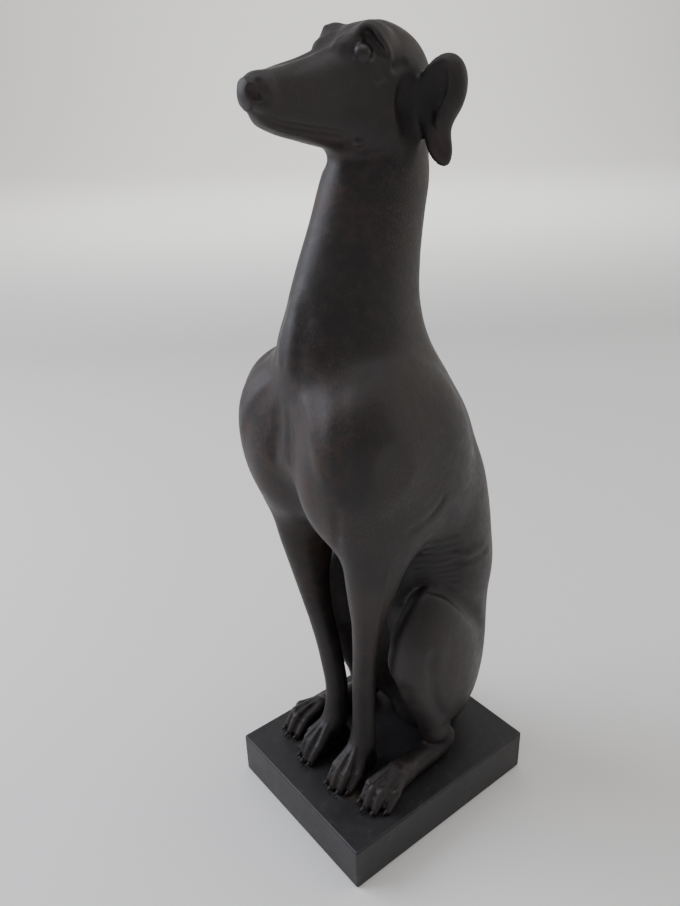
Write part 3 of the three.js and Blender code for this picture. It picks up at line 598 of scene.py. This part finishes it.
def noise(made, where, scale, detail=3, roughness=0.5):
    """Noise with about scale patches to a metre."""
    inputs = {"Vector": where, "Scale": scale, "Detail": detail, "Roughness": roughness}
    return node(made, "TexNoise", inputs).outputs["Fac"]


def between(made, source, low, high, to_low=0.0, to_high=1.0):
    """A value mapped from one span to another, kept within it."""
    inputs = {"Value": source, "From Min": low, "From Max": high, "To Min": to_low, "To Max": to_high}
    return node(made, "MapRange", inputs).outputs["Result"]


def times(made, a, b):
    return node(made, "Math", {0: a, 1: b}, operation="MULTIPLY").outputs[0]


def tinted(made, base, code, factor):
    """The base colour with another laid over it by factor."""
    inputs = {"Factor": factor, "A": base, "B": colour(code)}
    return node(made, "Mix", inputs, data_type="RGBA").outputs["Result"]


def link(made, source, shader, name):
    made.node_tree.links.new(source, shader.inputs[name])


def blob(made, where, centre, radii):
    """1 inside an egg on either side of the dog, in shares, fading to 0 past its edge."""
    side = node(made, "VectorMath", {0: where}, operation="ABSOLUTE").outputs[0]
    depth = node(made, "SeparateXYZ", {"Vector": where}).outputs
    side = node(made, "SeparateXYZ", {"Vector": side}).outputs
    place = node(made, "CombineXYZ", {"X": side["X"], "Y": depth["Y"], "Z": depth["Z"]}).outputs[0]
    middle = Vector(centre) * SHARE + Vector((0, 0, PLINTH_TOP))
    off = node(made, "VectorMath", {0: place, 1: middle}, operation="SUBTRACT").outputs[0]
    size = Vector(radii) * SHARE
    scaled = node(made, "VectorMath", {0: off, 1: size}, operation="DIVIDE").outputs[0]
    length = node(made, "VectorMath", {0: scaled}, operation="LENGTH").outputs["Value"]
    return between(made, length, 1.5, 0.3)


def resin():
    """Dark brown wax over cast resin: a satin skin, dusty mottling and reddish rub-through."""
    made, shader = material("resin_dark_brown")
    shader.inputs["Specular IOR Level"].default_value = 0.42
    where = node(made, "TexCoord").outputs["Object"]
    patches = noise(made, where, 16, 5, 0.6)  # patches about 60 mm across
    mottle = noise(made, where, 130, 5, 0.7)  # blotches of 5 to 10 mm
    speckle = noise(made, where, 800, 3, 0.7)  # specks of about 1 mm
    worn = between(made, noise(made, where, 20, 3), 0.44, 0.62)  # worn places about 50 mm across
    base = ramp(made, patches, [(0.38, "171313"), (0.62, "241f1e")])
    base = tinted(made, base, "352c28", times(made, between(made, mottle, 0.48, 0.7), 0.5))
    specks = between(made, speckle, 0.5, 0.72)
    base = tinted(made, base, "4c3d33", times(made, specks, times(made, worn, 0.5)))
    # Warm, worn wax under the jaw, down the breast and on the forelegs.
    for centre, radii in (((0, -8, 84), (4, 5, 6)), ((5, -15, 55), (5, 4, 13)), ((6, -8, 36), (3, 4, 14))):
        warm = times(made, blob(made, where, centre, radii), between(made, mottle, 0.42, 0.66))
        base = tinted(made, base, "4a3329", times(made, warm, 0.55))
    # Dust on the face, painted shade darkening the flank, painted shade in the ear hollow and behind the
    # jaw, and a reddish ear tip and nostril.
    for code, strength, centre, radii in (
        ("45403f", 0.4, (2.5, -10, 93.5), (4, 8, 5)),
        # painted shade: the flank darkened
        ("120f0f", 0.4, (9, 4, 40), (5, 7, 13)),
        # painted shade: near-black laid in the ear hollow and in the hollow behind the jaw
        ("0f0c10", 0.95, (6.5, 0.2, 92.4), (1.7, 2.2, 4.4)),
        ("0f0c10", 0.5, (5.7, 0.4, 89.5), (0.9, 1.2, 4.0)),
        ("38261f", 0.5, (7.3, 1.6, 87.6), (1.0, 1.0, 2.0)),
        ("472e26", 0.6, (1.5, -17.0, 93.7), (0.55, 0.6, 0.85)),
    ):
        base = tinted(made, base, code, times(made, blob(made, where, centre, radii), strength))
    link(made, base, shader, "Base Color")
    skin = between(made, mottle, 0.3, 0.7, 0.42, 0.6)
    wet = blob(made, where, (3.25, -5.0, 96.85), (1.1, 1.1, 1.1))
    polish = node(made, "Mix", {"Factor": wet, "A": skin, "B": 0.16}).outputs["Result"]
    link(made, polish, shader, "Roughness")
    grain = node(made, "Bump", {"Height": speckle, "Strength": 0.25, "Distance": 0.0003})
    dents = {"Height": mottle, "Strength": 0.3, "Distance": 0.0008, "Normal": grain.outputs[0]}
    waves = node(made, "Bump", dents)
    link(made, waves.outputs["Normal"], shader, "Normal")
    return made


def black():
    """Satin black paint over the cast plinth, dusty and scuffed, with grey glue where the toes meet it."""
    made, shader = material("resin_satin_black")
    where = node(made, "TexCoord").outputs["Object"]
    patches = noise(made, where, 30, 5, 0.65)  # patches about 30 mm across
    base = ramp(made, patches, [(0.35, "19181a"), (0.68, "242224")])
    scuffs = between(made, noise(made, where, 140, 4, 0.7), 0.55, 0.72)  # scuffs of about 7 mm
    base = tinted(made, base, "453b34", times(made, scuffs, 0.4))
    broken = between(made, noise(made, where, 260, 3, 0.6), 0.4, 0.55)  # gaps of about 4 mm in the glue
    glue = times(made, blob(made, where, (3.6, -12.9, 0), (1.6, 0.35, 0.4)), broken)
    base = tinted(made, base, "8a8a8e", times(made, glue, 0.4))
    stain = times(made, blob(made, where, (6.0, -10.9, 0), (1.1, 0.8, 0.4)), broken)
    base = tinted(made, base, "5b5136", times(made, stain, 0.8))
    link(made, base, shader, "Base Color")
    link(made, between(made, patches, 0.3, 0.7, 0.42, 0.58), shader, "Roughness")
    grain = node(made, "Bump", {"Height": noise(made, where, 1200, 2), "Strength": 0.15, "Distance": 0.0002})
    link(made, grain.outputs["Normal"], shader, "Normal")
    return made


dog.data.materials.clear()
dog.data.materials.append(resin())
block.data.materials.append(black())
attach(dog, "root")
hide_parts("greyhound")
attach(block, "root")
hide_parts("plinth")


def stage():
    """A pale floor that bends up into a backdrop behind the statue."""
    made, shader = material("paper_white")
    shader.inputs["Base Color"].default_value = colour("eeece9")
    shader.inputs["Roughness"].default_value = 0.8
    bm = bmesh.new()
    bmesh.ops.create_grid(bm, x_segments=1, y_segments=80, size=1)
    for v in bm.verts:
        away = v.co.y * 8 + 3
        bend = min(max(away - 4, 0) / 2, math.pi / 2)
        rise = max(away - 4 - math.pi, 0)
        v.co = (v.co.x * 12, min(away, 4) + 2 * math.sin(bend), 2 - 2 * math.cos(bend) + rise)
    turn = Matrix.Rotation(math.radians(52), 3, "Z")
    bmesh.ops.rotate(bm, matrix=turn, verts=bm.verts)
    mesh = bpy.data.meshes.new("floor")
    bm.to_mesh(mesh)
    bm.free()
    mesh.polygons.foreach_set("use_smooth", np.ones(len(mesh.polygons), bool))
    mesh.materials.append(made)
    new_object("floor", mesh)


stage()


def light(name, place, aim, size, power, tint="ffffff"):
    lamp = bpy.data.lights.new(name, "AREA")
    lamp.shape = "RECTANGLE"
    lamp.size, lamp.size_y = size
    lamp.energy = power
    lamp.color = colour(tint)[:3]
    obj = bpy.data.objects.new(name, lamp)
    obj.location = place
    obj.rotation_euler = (Vector(aim) - Vector(place)).to_track_quat("-Z", "Y").to_euler()
    bpy.context.scene.collection.objects.link(obj)


light("window", (-1.0, -0.9, 1.1), (0, 0, 0.35), (1.2, 1.7), 28, "ecf1ff")
light("far_window", (0.5, 1.4, 0.9), (0, 0, 0.3), (1.4, 1.6), 6, "fff8ee")
light("sky", (0.3, 0.1, 2.3), (0, 0, 0), (2.0, 2.0), 14)
light("backdrop", (-1.7, 1.3, 2.2), (-4.2, 3.0, 0.8), (3.0, 1.5), 140)
world = bpy.data.worlds.new("studio")
world.use_nodes = True
world.node_tree.nodes["Background"].inputs["Color"].default_value = colour("e2e2e4")
world.node_tree.nodes["Background"].inputs["Strength"].default_value = 0.5
bpy.context.scene.world = world


def camera():
    """The photograph's viewpoint: from the dog's left front, looking down on it."""
    lens = bpy.data.cameras.new("camera")
    lens.lens = 31.79
    lens.sensor_width = 36
    lens.clip_start = 0.01
    obj = bpy.data.objects.new("camera", lens)
    right = Vector((0.62512, 0.78005, -0.02732))
    up = Vector((-0.32671, 0.29328, 0.89847))
    back = Vector((0.70886, -0.55273, 0.43819))
    turn = Matrix((right, up, back)).transposed().to_4x4()
    place = Vector((71.3933, -62.4992, 96.0492)) * SHARE + Vector((0, 0, PLINTH_TOP))
    obj.matrix_world = Matrix.Translation(place) @ turn
    bpy.context.scene.collection.objects.link(obj)
    bpy.context.scene.camera = obj


camera()
